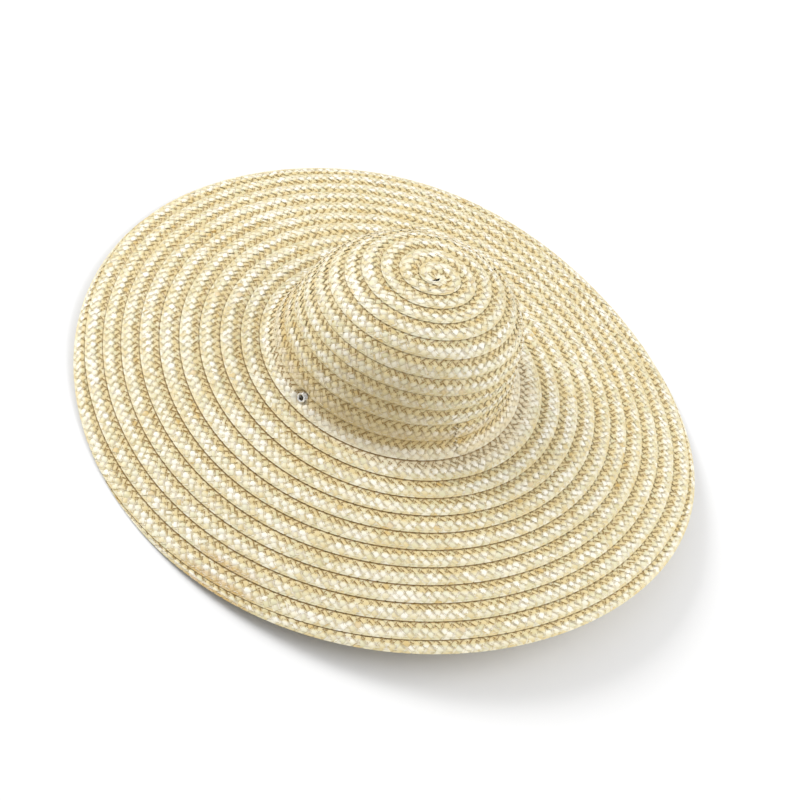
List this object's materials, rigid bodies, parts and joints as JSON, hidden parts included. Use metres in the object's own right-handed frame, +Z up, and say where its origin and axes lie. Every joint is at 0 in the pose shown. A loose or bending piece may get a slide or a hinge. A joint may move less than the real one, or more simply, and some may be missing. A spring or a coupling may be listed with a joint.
{
  "type": "straw sun hat",
  "caption": "Wide-brimmed straw sun hat with a round crown, sewn from one spiral of flat plait, with a small metal eyelet.",
  "frame": {"origin": "on the surface the brim lies on, under the middle of the brim's outline", "axes": "+Z up through the crown, +X to the right and +Y away from the viewer of the picture"},
  "size_m": [0.4715, 0.4721, 0.1289],
  "materials": {
    "straw": "natural pale wheat straw, flat plait, satin",
    "steel": "bright plated metal"
  },
  "bodies": {
    "root": {"crown": "straw", "brim": "straw", "eyelet": "steel"}
  },
  "joints": []
}
